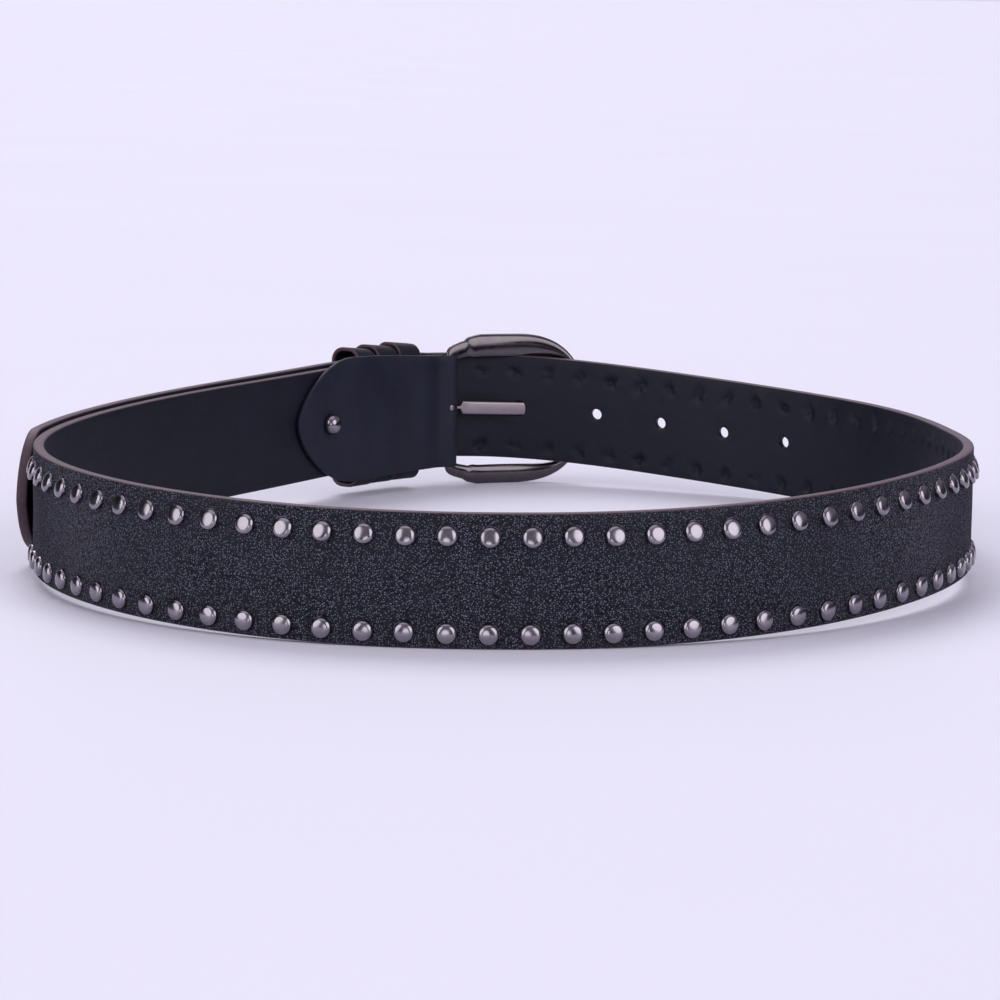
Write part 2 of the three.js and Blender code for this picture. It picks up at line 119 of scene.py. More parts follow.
# Folded tab that holds the buckle
TAB_THICK = 1.6
TAB_CORNER = 0.5          # rounding of its edges
TAB_END = 90.4            # the tip of its inner leg
TAB_POINT_LENGTH = 30
TAB_FULLNESS = 0.62
TAB_CLEAR = 0.5           # from the strap to the inner leg's point
TAB_OUTER_END = 46
TAB_HALF_WIDTH = {"fold": 20.4, "shoulder": 22.2}
TAB_DROP = 1.3            # how far its middle lies below the strap's at the fold
TAB_CLIMB = 0.03          # and how much the inner leg climbs for each millimetre
TAB_FOLD_THICK = 1        # the tab is thinned where it folds
TAB_THINNED = (4.5, 9)    # and regains its thickness between these distances from the fold's crest
TAB_WAVE = (14, 16, 0.12)  # slow unevenness of its outer face: length along and across it, and height
# Holes in the fold, from its crest: a small one that shows the prong's roll and the slot for the prong, each with
# its block of the mesh and the block's columns
TAB_HOLES = ((-5.4, -1.5, (-6.0, -1.1, 6)), (-0.1, 6.0, (-0.5, 6.5, 10)))
TAB_HOLE_HEIGHT = 2.7

# Rivet through the tab's point
RIVET_AT = 72.4
RIVET_RADIUS = 3.7
RIVET_HEIGHT = 3.8        # of its dome
RIVET_SHANK = 1.4
RIVET_FOOT = (2.4, 0.5, 1.5)  # its foot in the strap: radius, and where it starts and ends from the strap's middle

# Keepers
KEEPER_STARTS = (43.7, 32.1, 20.5)
KEEPER_WIDTH = 10.8
KEEPER_THICK = 1.4
KEEPER_HALF_HEIGHT = 24.75
KEEPER_DROP = 0.5         # how far its middle lies below the strap's
KEEPER_CORNER = 5
KEEPER_RIM = 0.6          # rounding of its edges
KEEPER_LEAN = 1.2         # how much higher a loop's top stands at its side away from the buckle

# The loop seen from above: control points of a closed cubic spline along the middle of the leather, and the height
# of the strap's lower edge above the surface. It starts at the buckle and runs by the left, the front and the right.
LOOP = (
    (-20.8, 184.8, 11.1), (-72.1, 99.5, 8.2), (-115.6, 38.0, 6.9), (-152.8, -43.9, 3.1),
    (-126.3, -126.8, 2.3), (-60.2, -179.0, 0.2), (34.3, -179.7, -0.4), (103.6, -138.3, 2.3),
    (147.1, -68.0, 5.8), (146.8, 16.8, 1.8), (136.8, 112.6, -0.3), (66.8, 151.7, 4.9),
)
LOOP_SAMPLES = 200

# How the strap's second lap lies on the first one: place, distance out and rise
OVER_WRAP = PRONG_BORE + TAB_THICK + STRAP_THICK / 2 + 2 * GAP
OVER_STRAP = STRAP_THICK + 0.5
LAP = (
    (-150, 0, 0), (-2, OVER_WRAP, 0.2), (9, OVER_WRAP, 0.4), (20, OVER_STRAP, 1.2),
    (225, OVER_STRAP, 0.9), (262, STRAP_THICK + STUD_HEIGHT + 0.4, 0),
)


def lerp(a, b, f):
    return a + (b - a) * f


def smoothstep(x, low, high):
    f = min(max((x - low) / (high - low), 0), 1)
    return f * f * (3 - 2 * f)


def squared(x, power):
    """A sine or cosine bent so that the round it draws becomes squarer, for powers under 1."""
    return math.copysign(abs(x) ** power, x)


# Lines seen from above

class Route:
    """A line seen from above, with any further values that change along it, followed by its own length."""

    def __init__(self, rows):
        self.rows = rows
        self.reach = [0.0]
        self.normals = []
        for a, b in zip(rows, rows[1:]):
            self.reach.append(self.reach[-1] + math.hypot(b[0] - a[0], b[1] - a[1]))
        for k in range(len(rows)):
            a, b = rows[max(k - 1, 0)], rows[min(k + 1, len(rows) - 1)]
            length = math.hypot(b[0] - a[0], b[1] - a[1])
            self.normals.append(((b[1] - a[1]) / length, (a[0] - b[0]) / length))
        self.length = self.reach[-1]

    def at(self, travel):
        """The line's values there, and the normal to its side."""
        k = min(max(bisect.bisect_right(self.reach, travel) - 1, 0), len(self.rows) - 2)
        f = (travel - self.reach[k]) / (self.reach[k + 1] - self.reach[k])
        values = [lerp(a, b, f) for a, b in zip(self.rows[k], self.rows[k + 1])]
        nx, ny = (lerp(a, b, f) for a, b in zip(self.normals[k], self.normals[k + 1]))
        length = math.hypot(nx, ny)
        return values, nx / length, ny / length


def smoothed(rows, steps):
    """Rows in between, on a smooth curve through the given ones."""
    result = []
    for k in range(len(rows) - 1):
        around = [rows[min(max(k + m, 0), len(rows) - 1)] for m in (-1, 0, 1, 2)]
        for step in range(steps):
            f = step / steps
            weights = (
                (-f + 2 * f**2 - f**3) / 2, (2 - 5 * f**2 + 3 * f**3) / 2,
                (f + 4 * f**2 - 3 * f**3) / 2, (f**3 - f**2) / 2,
            )
            result.append(tuple(sum(w * row[c] for w, row in zip(weights, around)) for c in range(len(rows[0]))))
    return result + [tuple(rows[-1])]


def spline_row(t):
    k, f = int(t), t - int(t)
    weights = ((1 - f) ** 3, 3 * f**3 - 6 * f**2 + 4, -3 * f**3 + 3 * f**2 + 3 * f + 1, f**3)
    around = [LOOP[(k + m) % len(LOOP)] for m in (-1, 0, 1, 2)]
    return tuple(sum(w / 6 * row[c] for w, row in zip(weights, around)) for c in range(3))


loop = Route([spline_row(k / LOOP_SAMPLES) for k in range(len(LOOP) * LOOP_SAMPLES + 1)])
STRAP_END = loop.length + TAIL_LENGTH


def on_loop(at):
    """Point, outward normal and height of the strap's lower edge, on the first lap."""
    (x, y, lift), nx, ny = loop.at(at % loop.length)
    return x, y, nx, ny, max(0, lift)


def lap(at):
    """The second lap's distance from the first and its rise."""
    past = at - loop.length
    if past <= LAP[0][0]:
        return 0, 0
    for a, b in zip(LAP, LAP[1:]):
        if past < b[0]:
            f = smoothstep(past, a[0], b[0])
            return lerp(a[1], b[1], f), lerp(a[2], b[2], f)
    return LAP[-1][1:]


def place(at, out):
    x, y, nx, ny, _ = on_loop(at)
    return x + nx * out, y + ny * out


def strap_point(at, up, out):
    """A point of the strap: its place along the belt, its height in the strap and its distance out."""
    x, y, nx, ny, lift = on_loop(at)
    away, rise = lap(at)
    return x + nx * (away + out), y + ny * (away + out), lift + rise + up


# Meshes

def added(name, data):
    """A new object of that mesh, lamp or camera, in the scene."""
    made = bpy.data.objects.new(name, data)
    bpy.context.scene.collection.objects.link(made)
    return made


class Skin:
    """Vertices and faces of one piece, in millimetres, each face with the number of its finish."""

    def __init__(self):
        self.points = []
        self.faces = []
        self.finishes = []

    def add(self, point):
        self.points.append(tuple(point))
        return len(self.points) - 1

    def row(self, points):
        return [self.add(point) for point in points]

    def face(self, corners, finish):
        self.faces.append(tuple(corners))
        self.finishes.append(finish)

    def bridge(self, first, second, finish, closed=True):
        """Faces between two rows of as many vertices."""
        count = len(first)
        for k in range(count if closed else count - 1):
            n = (k + 1) % count
            self.face((first[k], first[n], second[n], second[k]), finish)

    def fan(self, rim, point, finish):
        """Faces from a closed row to one point."""
        middle = self.add(point)
        for k, corner in enumerate(rim):
            self.face((corner, rim[(k + 1) % len(rim)], middle), finish)

    def tube(self, rings):
        """Faces along closed rows, all of the first finish."""
        for first, second in zip(rings, rings[1:]):
            self.bridge(first, second, 0)

    def mesh(self, name, finishes):
        mesh = bpy.data.meshes.new(name)
        mesh.from_pydata([[c * MM for c in point] for point in self.points], [], self.faces)
        mesh.polygons.foreach_set("material_index", self.finishes)
        for finish in finishes:
            mesh.materials.append(finish)
        return mesh

    def piece(self, replaces, finishes, sharp=38):
        """Makes the object in place of its CAD node. Edges sharper than the angle stay crisp."""
        name = f"belt_{replaces}"
        mesh = self.mesh(name, finishes)
        work = bmesh.new()
        work.from_mesh(mesh)
        bmesh.ops.remove_doubles(work, verts=work.verts, dist=0.002 * MM)
        bmesh.ops.dissolve_degenerate(work, edges=work.edges, dist=0.001 * MM)
        bmesh.ops.recalc_face_normals(work, faces=work.faces)
        work.to_mesh(mesh)
        work.free()
        mesh.shade_smooth()
        mesh.set_sharp_from_angle(angle=math.radians(sharp))
        made = added(name, mesh)
        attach(made, "root")
        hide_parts(replaces)


OUTER, INNER, EDGE, METAL = range(4)
FACES = {"outer": OUTER, "inner": INNER}


def edge_lines(outer, inner, corner):
    """Lines round a cut edge, from the outer face to the inner one: the share of the way from face to edge that each
    has come, and where it lies between the faces."""
    lines = []
    for turn in (30, 60, 90):
        t = math.radians(turn)
        lines.append((math.sin(t), outer - corner * (1 - math.cos(t))))
    crown = (1 + EDGE_CROWN, (outer + inner) / 2)
    return lines + [crown] + [(share, outer + inner - w) for share, w in reversed(lines)]


def inset(points, corner, side, pointed):
    """Points of an outline's side moved inwards by a corner's size."""
    result = []
    last = len(points) - 1
    for k, (s, v) in enumerate(points):
        a, b = points[max(k - 1, 0)], points[min(k + 1, last)]
        ds, dv = b[0] - a[0], b[1] - a[1]
        if k in pointed:
            ds, dv = 0, (1 if k == 0 else -1) * side
        length = math.hypot(ds, dv)
        result.append((s + side * dv / length * corner, v - side * ds / length * corner))
    return result


class Strip:
    """A strip of leather: an outer and an inner face on the same columns and rows, and rounded cut edges."""

    def __init__(self, skin, outline, rows, faces, corner, surface, point, pointed=()):
        self.skin = skin
        lower = [pair[0] for pair in outline]
        upper = [pair[1] for pair in outline]
        lower_in = inset(lower, corner, -1, pointed)
        upper_in = inset(upper, corner, 1, pointed)
        self.outer, self.inner, self.top, self.bottom = [], [], [], []
        for k in range(len(outline)):
            outer, inner = faces(lower[k][0])
            across = [[lerp(a, b, f) for a, b in zip(lower_in[k], upper_in[k])] for f in rows]
            self.outer.append(skin.row(surface("outer", s, v, 0) for s, v in across))
            self.inner.append(skin.row(surface("inner", s, v, 0) for s, v in across))
            lines = edge_lines(outer, inner, corner)
            for ids, start, end in ((self.top, upper_in[k], upper[k]), (self.bottom, lower_in[k], lower[k])):
                ids.append(skin.row(
                    point(lerp(start[0], end[0], share), lerp(start[1], end[1], share), w) for share, w in lines
                ))

    def close(self, left_open, capped=()):
        """Faces between all columns but in the blocks left open, and over the ends."""
        skin = self.skin
        edge_finish = (OUTER, EDGE, EDGE, EDGE, EDGE, EDGE, EDGE, INNER)
        for k in range(len(self.outer) - 1):
            for (side, finish), ids in zip(FACES.items(), (self.outer, self.inner)):
                for j in range(len(ids[k]) - 1):
                    if (side, k, j) not in left_open:
                        skin.face((ids[k][j], ids[k + 1][j], ids[k + 1][j + 1], ids[k][j + 1]), finish)
            for ids, end in ((self.top, -1), (self.bottom, 0)):
                here = [self.outer[k][end], *ids[k], self.inner[k][end]]
                there = [self.outer[k + 1][end], *ids[k + 1], self.inner[k + 1][end]]
                for m, finish in enumerate(edge_finish):
                    skin.face((here[m], there[m], there[m + 1], here[m + 1]), finish)
        for k in capped:
            for j in range(len(self.outer[k]) - 1):
                a, b = self.outer[k], self.inner[k]
                skin.face((a[j], b[j], b[j + 1], a[j + 1]), EDGE)
            for ids, end in ((self.top, -1), (self.bottom, 0)):
                skin.face((self.outer[k][end], *ids[k], self.inner[k][end]), EDGE)

    def boundary(self, side, block):
        """The closed row of vertices round a block of columns and rows."""
        ids = self.outer if side == "outer" else self.inner
        first, last, low, high = block
        return (
            [ids[k][low] for k in range(first, last)] + [ids[last][j] for j in range(low, high)]
            + [ids[k][high] for k in range(last, first, -1)] + [ids[first][j] for j in range(high, low, -1)]
        )


def block_cells(block):
    """The cells of a block, on both faces."""
    first, last, low, high = block
    return {(side, k, j) for side in FACES for k in range(first, last) for j in range(low, high)}


def block_angles(block):
    """Angles at which a ring's vertices face the vertices round a block."""
    first, last, low, high = block
    angles = []
    for quarter, count in enumerate((last - first, high - low) * 2):
        angles += [math.radians(-135 + 90 * (quarter + k / count)) for k in range(count)]
    return angles


def pointed_share(share, fullness):
    """A blunt point's half width at a share of its length from the tip, as a share of its full half width."""
    return (1 - (1 - min(1, max(0, share))) ** 1.6) ** fullness


# Strap

# The leather's unevenness: length along and across the strap, height, and a shift of its noise
WAVES = ((31, 17, 0.16, 0), (9, 8, 0.07, 7))
WAVE_FADE = 6             # distance from the edges at which it is full


def strap_faces(at):
    return (SKIVE_FACE if at <= SKIVE_END + 0.01 else STRAP_THICK / 2), -STRAP_THICK / 2


def leather_wave(at, up, seed):
    """Slow unevenness of the leather, which fades out towards its edges."""
    fade = smoothstep(min(up, STRAP_WIDTH - up), STRAP_CORNER, WAVE_FADE)
    return fade * sum(
        height * noise.noise(Vector((at / long, up / high, seed + shift))) for long, high, height, shift in WAVES
    )


def strap_surface(side, at, up, depth):
    """A point of one face of the strap, sunk by a negative depth and proud by a positive one."""
    outer, inner = strap_faces(at)
    if side == "outer":
        return strap_point(at, up, outer + leather_wave(at, up, 3) + depth)
    return strap_point(at, up, inner - leather_wave(at, up, 11) - depth)


# Heights of the rows of the strap's mesh: a block for each row of studs, with the prong holes' block between them
LOWER_ROWS = (0.6, 2.1, 3.6, 5.1, 6.6, 8.3, 10.0)
MIDDLE_ROWS = (11.8, 13.6, 15.4, 17.2, 19.0, 20.8, 22.5, 24.2)
UPPER_ROWS = (26.0, 27.8, 29.7, 31.6, 33.5, 35.4, 37.4)
STRAP_ROWS = LOWER_ROWS + MIDDLE_ROWS + UPPER_ROWS
STUD_BLOCK_ROWS = ((0, 6), (15, 21))
HOLE_BLOCK_ROWS = (8, 14)
HOLE_BLOCK_HALF = 3       # columns on each side of a hole's middle
SLOT_BLOCK_HALF = 5       # and of the slot that holds the prong
PLAIN_STEP = 2.6
TIP_STEPS = 16

# The leather round a stud's foot: radius and distance from the face
STUD_SEAT = ((3.7, 0.0), (3.3, -0.08), (3.05, -0.28))
STUD_FOOT_DEPTH = -0.34
STUD_BEND_RINGS = 6
STUD_FLAT_RINGS = (1.3, 0.65)
STUD_SHIFT = 0.12         # how far single studs stand off their row's line

# The dent behind a stud: its rings, how far its two legs stand from the middle, their depth and their breadth, and
# the puckered leather round them, with its usual height, its unevenness and its grain
MARK_RINGS = (3.75, 2.9, 2.1, 1.4, 0.7)
MARK_LEG_APART = (0.7, 1.4)
MARK_LEG_DEPTH = (0.7, 1.4)
MARK_LEG_SPREAD = 2.2
MARK_FADE = (2.6, 3.7)
PUCKER = (0.12, 0.5, 1.9)

# The leather drawn in round a hole: distance from its wall and depth
HOLE_RIMS = ((1.1, 0.0), (0.45, -0.08), (0.12, -0.28), (0.0, -0.6))


def stud_profile():
    """A stud from the leather's first give to its middle: radius, distance from the leather's face, and finish."""
    start, foot = math.asin(STUD_FLAT / STUD_TOP_CURVE), math.radians(STUD_SHOULDER)
    bend = (STUD_RADIUS - STUD_FLAT) / (foot - start)
    rings = [(radius, depth, OUTER) for radius, depth in STUD_SEAT]
    rings.append((STUD_RADIUS, STUD_FOOT_DEPTH, METAL))
    for k in range(STUD_BEND_RINGS):
        slope = lerp(foot, start, k / (STUD_BEND_RINGS - 1))
        drop = STUD_FLAT**2 / (2 * STUD_TOP_CURVE) + bend * math.log(math.cos(start) / math.cos(slope))
        rings.append((STUD_FLAT + bend * (slope - start), STUD_CROWN - drop, METAL))
    rings += [(r, STUD_CROWN - r * r / (2 * STUD_TOP_CURVE), METAL) for r in STUD_FLAT_RINGS]
    return rings


def strap_columns():
    skived = [lerp(STRAP_START, SKIVE_END, k / 16) for k in range(17)]
    studded = STUD_FIRST - STUD_PITCH / 2
    count = int((studded - SKIVE_END) / PLAIN_STEP)
    plain = [lerp(SKIVE_END + GAP, studded, k / count) for k in range(count)]
    studs = 1 + int((STRAP_END - STUD_FREE_TIP - STUD_FIRST) / STUD_PITCH)
    step = STUD_PITCH / STUD_COLUMNS
    under = [studded + k * step for k in range(studs * STUD_COLUMNS + 1)]
    tip_start = STRAP_END - TIP_LENGTH
    free = [lerp(under[-1], tip_start, k / 6) for k in range(1, 6)]
    tip = [STRAP_END - TIP_LENGTH * (1 - k / TIP_STEPS) ** 1.5 for k in range(TIP_STEPS + 1)]
    columns = skived + plain + under + free + tip
    return columns, len(skived) + len(plain), studs


def stud(skin, strip, block, at, up, turn):
    """Leather that gives under a stud's rim, and its dome."""
    at += chance.uniform(-STUD_SHIFT, STUD_SHIFT)
    up += chance.uniform(-STUD_SHIFT, STUD_SHIFT)
    lean_up = math.tan(math.radians(turn + chance.uniform(-STUD_LOOSE, STUD_LOOSE)))
    lean_along = math.tan(math.radians(chance.uniform(-STUD_LOOSE, STUD_LOOSE)))
    ring = strip.boundary("outer", block)
    angles = block_angles(block)
    for radius, depth, finish in stud_profile():
        points = []
        for angle in angles:
            along, rise = radius * math.cos(angle), radius * math.sin(angle)
            lean = -lean_up * rise - lean_along * along if depth > 0 else 0
            points.append(strap_surface("outer", at + along, up + rise, depth + lean))
        new = skin.row(points)
        skin.bridge(ring, new, finish)
        ring = new
    skin.fan(ring, strap_surface("outer", at, up, STUD_CROWN), METAL)


def stud_mark(skin, strip, block, at, up):
    """The dent that a stud's two folded legs leave in the inner face."""
    turn = chance.uniform(0, math.pi)
    apart = chance.uniform(*MARK_LEG_APART)
    deep = chance.uniform(*MARK_LEG_DEPTH)
    legs = [(apart * math.cos(turn + k * math.pi), apart * math.sin(turn + k * math.pi)) for k in (0, 1)]
    swell, uneven, grain = PUCKER

    def depth(along, rise):
        dent = sum(math.exp(-((along - x) ** 2 + (rise - y) ** 2) / MARK_LEG_SPREAD) for x, y in legs)
        pucker = noise.noise(Vector((at + along, up + rise, 40)) / grain)
        fade = 1 - smoothstep(math.hypot(along, rise), *MARK_FADE)
        return fade * (swell + uneven * pucker - deep * dent)

    ring = strip.boundary("inner", block)
    angles = block_angles(block)
    for radius in MARK_RINGS:
        offsets = [(radius * math.cos(angle), radius * math.sin(angle)) for angle in angles]
        new = skin.row(
            strap_surface("inner", at + along, up + rise, depth(along, rise)) for along, rise in offsets
        )
        skin.bridge(ring, new, INNER)
        ring = new
    skin.fan(ring, strap_surface("inner", at, up, depth(0, 0)), INNER)


def punched(skin, strip, block, centres, up, radii):
    """A hole through both faces, with the leather drawn in a little round it."""
    walls = []
    for side, at in zip(FACES, centres):
        ring = strip.boundary(side, block)
        for grow, depth in HOLE_RIMS:
            along, rise = radii[0] + grow, radii[1] + grow
            new = skin.row(
                strap_surface(side, at + along * math.cos(angle), up + rise * math.sin(angle), depth)
                for angle in block_angles(block)
            )
            skin.bridge(ring, new, FACES[side])
            ring = new
        walls.append(ring)
    skin.bridge(*walls, INNER)


def make_strap(finishes):
    skin = Skin()
    columns, first_stud_column, studs = strap_columns()

    def reach(at):
        return STRAP_WIDTH / 2 * pointed_share((STRAP_END - at) / TIP_LENGTH, TIP_FULLNESS)

    middle = STRAP_WIDTH / 2
    outline = [((at, middle - reach(at)), (at, middle + reach(at))) for at in columns]
    rows = [(up - STRAP_CORNER) / (STRAP_WIDTH - 2 * STRAP_CORNER) for up in STRAP_ROWS]
    strip = Strip(
        skin, outline, rows, strap_faces, STRAP_CORNER, strap_surface, strap_point, pointed=(len(columns) - 1,)
    )
    left_open = set()
    for n in range(studs):
        at = STUD_FIRST + n * STUD_PITCH
        first = first_stud_column + n * STUD_COLUMNS
        for up, turn, rows_of_block in zip(STUD_ROWS, STUD_TURN, STUD_BLOCK_ROWS):
            block = (first, first + STUD_COLUMNS, *rows_of_block)
            stud(skin, strip, block, at, up, turn)
            stud_mark(skin, strip, block, at, up)
            left_open |= block_cells(block)
    for n in range(HOLE_COUNT):
        if n == 0:
            (inner, outer), up, radii = prong_slot()
            centres, wide = (outer, inner), SLOT_BLOCK_HALF
        else:
            at = loop.length - HOLE_FIRST - n * HOLE_PITCH
            centres, up, radii, wide = (at, at), middle, (HOLE_RADIUS, HOLE_RADIUS), HOLE_BLOCK_HALF
        along = sum(centres) / 2 - columns[first_stud_column]
        column = first_stud_column + round(along / (STUD_PITCH / STUD_COLUMNS))
        block = (column - wide, column + wide, *HOLE_BLOCK_ROWS)
        punched(skin, strip, block, centres, up, radii)
        left_open |= block_cells(block)
    strip.close(left_open, capped=(0,))
    skin.piece("strap", finishes)


# Buckle: a flat frame in its own plane, carried by its two bars

heel_bar = place(BAR_AT, 0)
far_bar = strap_point(
    loop.length - FAR_BAR_BACK, 0, STRAP_THICK / 2 + STUD_HEIGHT + FAR_BAR_CLEAR + FRAME_THICK / 2
)[:2]
REACH = math.dist(heel_bar, far_bar)
across = ((far_bar[0] - heel_bar[0]) / REACH, (far_bar[1] - heel_bar[1]) / REACH)


def frame_bow(u):
    return FRAME_BOW * (1 - (2 * u / REACH - 1) ** 2)


def buckle_point(u, v, w):
    return (
        heel_bar[0] + across[0] * u - across[1] * w,
        heel_bar[1] + across[1] * u + across[0] * w,
        FRAME_HALF_HEIGHT + v,
    )


def rounded_outline(angle, reach_heel, reach_far, half_height, squareness):
    c, s = math.cos(angle), math.sin(angle)
    power = squareness["heel" if c < 0 else "far"]
    reach = (abs(c) ** power + abs(s) ** power) ** (-1 / power)
    u = REACH / 2 + (reach_heel if c < 0 else reach_far) * reach * c
    length, share = HEEL_TAPER
    taper = 1 - share * max(0, 1 - (u + HEEL_BAR_WIDTH / 2) / length) ** 1.3
    return u, half_height * taper * reach * s


def make_frame(finish):
    skin = Skin()
    middle, heel, far = REACH / 2, HEEL_BAR_WIDTH / 2, FAR_BAR_WIDTH / 2
    around, section = 260, 24
    rings = []
    for a in range(around):
        angle = 2 * math.pi * (a + 0.5) / around
        opening = OPENING_TOP if math.sin(angle) > 0 else OPENING_BOTTOM
        outer = rounded_outline(angle, middle + heel, middle + far, FRAME_HALF_HEIGHT, FRAME_SQUARENESS)
        inner = rounded_outline(angle, middle - heel, middle - far, opening, OPENING_SQUARENESS)
        full = smoothstep(lerp(inner[0], outer[0], 0.5), *SHOULDER)
        points = []
        for b in range(section):
            turn = 2 * math.pi * b / section
            c, s = math.cos(turn), math.sin(turn)
            share = 0.5 + 0.5 * squared(c, FRAME_ROUNDNESS[0]) * lerp(SHOULDER_SHARE, 1, full)
            thick = 0.5 * squared(s, FRAME_ROUNDNESS[1]) * FRAME_THICK * lerp(SHOULDER_SHARE, 1, full)
            u, v = lerp(inner[0], outer[0], share), lerp(inner[1], outer[1], share)
            points.append(buckle_point(u, v, frame_bow(u) - thick))
        rings.append(skin.row(points))
    skin.tube(rings + rings[:1])
    skin.piece("buckle_frame", [finish], sharp=60)


def prong_middle(u):
    """How far outside the bars' plane the prong's middle lies."""
    bar_edge = REACH - FAR_BAR_WIDTH / 2
    outside = frame_bow(bar_edge) + FRAME_THICK / 2 + GAP + PRONG_THICK / 2
    return lerp(PRONG_LEAVES, outside, smoothstep(u, PRONG_LEVEL, bar_edge - 1))


def prong_height(u):
    return PRONG_HEIGHT - PRONG_FALL * max(u, 0)


def prong_slot():
    """Where the prong passes through the strap: middles of its slot in the inner and the outer face, its height in
    the strap and its half sizes."""
    stations = [loop.length - 45 + k / 4 for k in range(200)]
    marks = [(at, strap_point(at, 0, 0), on_loop(at)) for at in stations]

    def crossing(offset, face):
        for step in range(20, 4 * int(REACH)):
            u = step / 4
            x, y, _ = buckle_point(u, 0, prong_middle(u) + offset)
            at, near, here = min(marks, key=lambda mark: (mark[1][0] - x) ** 2 + (mark[1][1] - y) ** 2)
            if (x - near[0]) * here[2] + (y - near[1]) * here[3] > face:
                return at
        return loop.length - HOLE_FIRST

    half = PRONG_THICK / 2
    face = STRAP_THICK / 2
    inner = (crossing(half, -face), crossing(-half, -face))
    outer = (crossing(half, face), crossing(-half, face))
    length = max(abs(a - b) for a, b in (inner, outer)) / 2 + GAP
    middle = (sum(inner) + sum(outer)) / 4
    x, y, edge = strap_point(middle, 0, 0)
    up = prong_height((x - heel_bar[0]) * across[0] + (y - heel_bar[1]) * across[1]) + FRAME_HALF_HEIGHT - edge
    return (sum(inner) / 2, sum(outer) / 2), up, (length, PRONG_WIDTH / 2 + GAP)


def make_prong(finish):
    """A flat strip, rolled round the heel bar and spread wide beyond it, that runs out to the far bar."""
    skin = Skin()
    radius, thin, narrow = PRONG_ROLL
    neck_start, neck_end, neck_share = PRONG_NECK
    proud, bead_at, bead_reach = PRONG_BEAD
    rows = []
    for k in range(33):
        turn = math.radians(lerp(45, 358, k / 32))
        rows.append((radius * math.cos(turn), radius * math.sin(turn)))
    end = REACH + PRONG_PAST_BAR
    rows += smoothed([(radius + 0.12, 0.25), (radius + 0.6, 0.38), (PRONG_LEVEL, PRONG_LEAVES)], 4)[1:]
    rows += [(u, prong_middle(u)) for u in [lerp(PRONG_LEVEL, end, k / 40) for k in range(1, 41)]]
    path = Route(rows)
    rings = []
    steps = [path.length * k / 120 for k in range(118)] + [path.length - s for s in (0.9, 0.55, 0.25, 0.06)]
    for travel in steps:
        (u, w), nu, nw = path.at(travel)
        left = path.length - travel
        full = min(1, (1 - (1 - min(left / PRONG_TIP, 1)) ** 2) ** 0.5)
        shank = u if travel > radius * 5 else 0
        neck = lerp(1, neck_share, smoothstep(shank, neck_start, neck_end))
        half = lerp(narrow * neck, PRONG_WIDTH, smoothstep(shank, *PRONG_SPREAD)) / 2 * max(full, 0.2)
        thick = lerp(thin, PRONG_THICK, smoothstep(shank, *PRONG_SWELL))
        bead = proud * math.exp(-(((u - bead_at) / bead_reach) ** 2)) if w < -1 else 0
        points = []
        for b in range(20):
            turn = 2 * math.pi * b / 20
            c, s = math.cos(turn), math.sin(turn)
            v = half * squared(c, PRONG_ROUNDNESS[0]) + prong_height(u)
            away = thick / 2 * squared(s, PRONG_ROUNDNESS[1]) * lerp(0.5, 1, full) + bead * max(s, 0)
            points.append(buckle_point(u + nu * away, v, w + nw * away))
        rings.append(skin.row(points))
    skin.tube(rings)
    for ring in (rings[0], rings[-1]):
        skin.face(ring, 0)
    skin.piece("prong", [finish], sharp=50)


# Folded tab: point, inner leg over the keepers, fold round the heel bar, outer leg

TAB_ON_STRAP = STRAP_THICK / 2 + TAB_CLEAR + TAB_THICK / 2


def tab_route():
    """The tab's middle line seen from above, with the height of its middle and its half width."""
    fold = PRONG_BORE + TAB_FOLD_THICK / 2

    def leg(at, out):
        spread = smoothstep(at, BAR_AT, TAB_END - TAB_POINT_LENGTH)
        climb = TAB_CLIMB * (at - BAR_AT) if out < 0 else 0
        middle = on_loop(at)[4] + STRAP_WIDTH / 2 - TAB_DROP + climb
        return (*place(at, out), middle, lerp(TAB_HALF_WIDTH["fold"], TAB_HALF_WIDTH["shoulder"], spread))

    # From the rivet on it climbs gently over the keepers
    climbing = ((90.4, 0), (84.4, 0), (78.4, 0), (72.4, 0), (66.6, 0.14), (61.4, 0.56), (57, 0.93))
    over_keepers = tuple((at, 1) for at in (52, 46, 39, 32, 25, 21))
    rows = [leg(at, -TAB_ON_STRAP - share * (KEEPER_THICK + GAP)) for at, share in climbing + over_keepers]
    # Between the last keeper and the fold the leather dips towards the strap
    rows += [leg(at, -out) for at, out in ((17, 4.1), (13.8, 3.1), (11.3, 2.75), (8.7, 2.8))]
    x, y, nx, ny, lift = on_loop(BAR_AT)
    for k in range(9):
        turn = math.pi * (k / 8 - 0.5)
        ahead, out = fold * math.cos(turn), fold * math.sin(turn)
        point = (x + ny * ahead + nx * out, y - nx * ahead + ny * out)
        rows.append((*point, lift + STRAP_WIDTH / 2 - TAB_DROP, TAB_HALF_WIDTH["fold"]))
    rows.append(leg(BAR_AT + 3, fold - 0.5))
    rows += [leg(at, (STRAP_THICK - TAB_THICK) / 2) for at in (15, 22, 30, 38, TAB_OUTER_END)]
    return Route(smoothed(rows, 6))


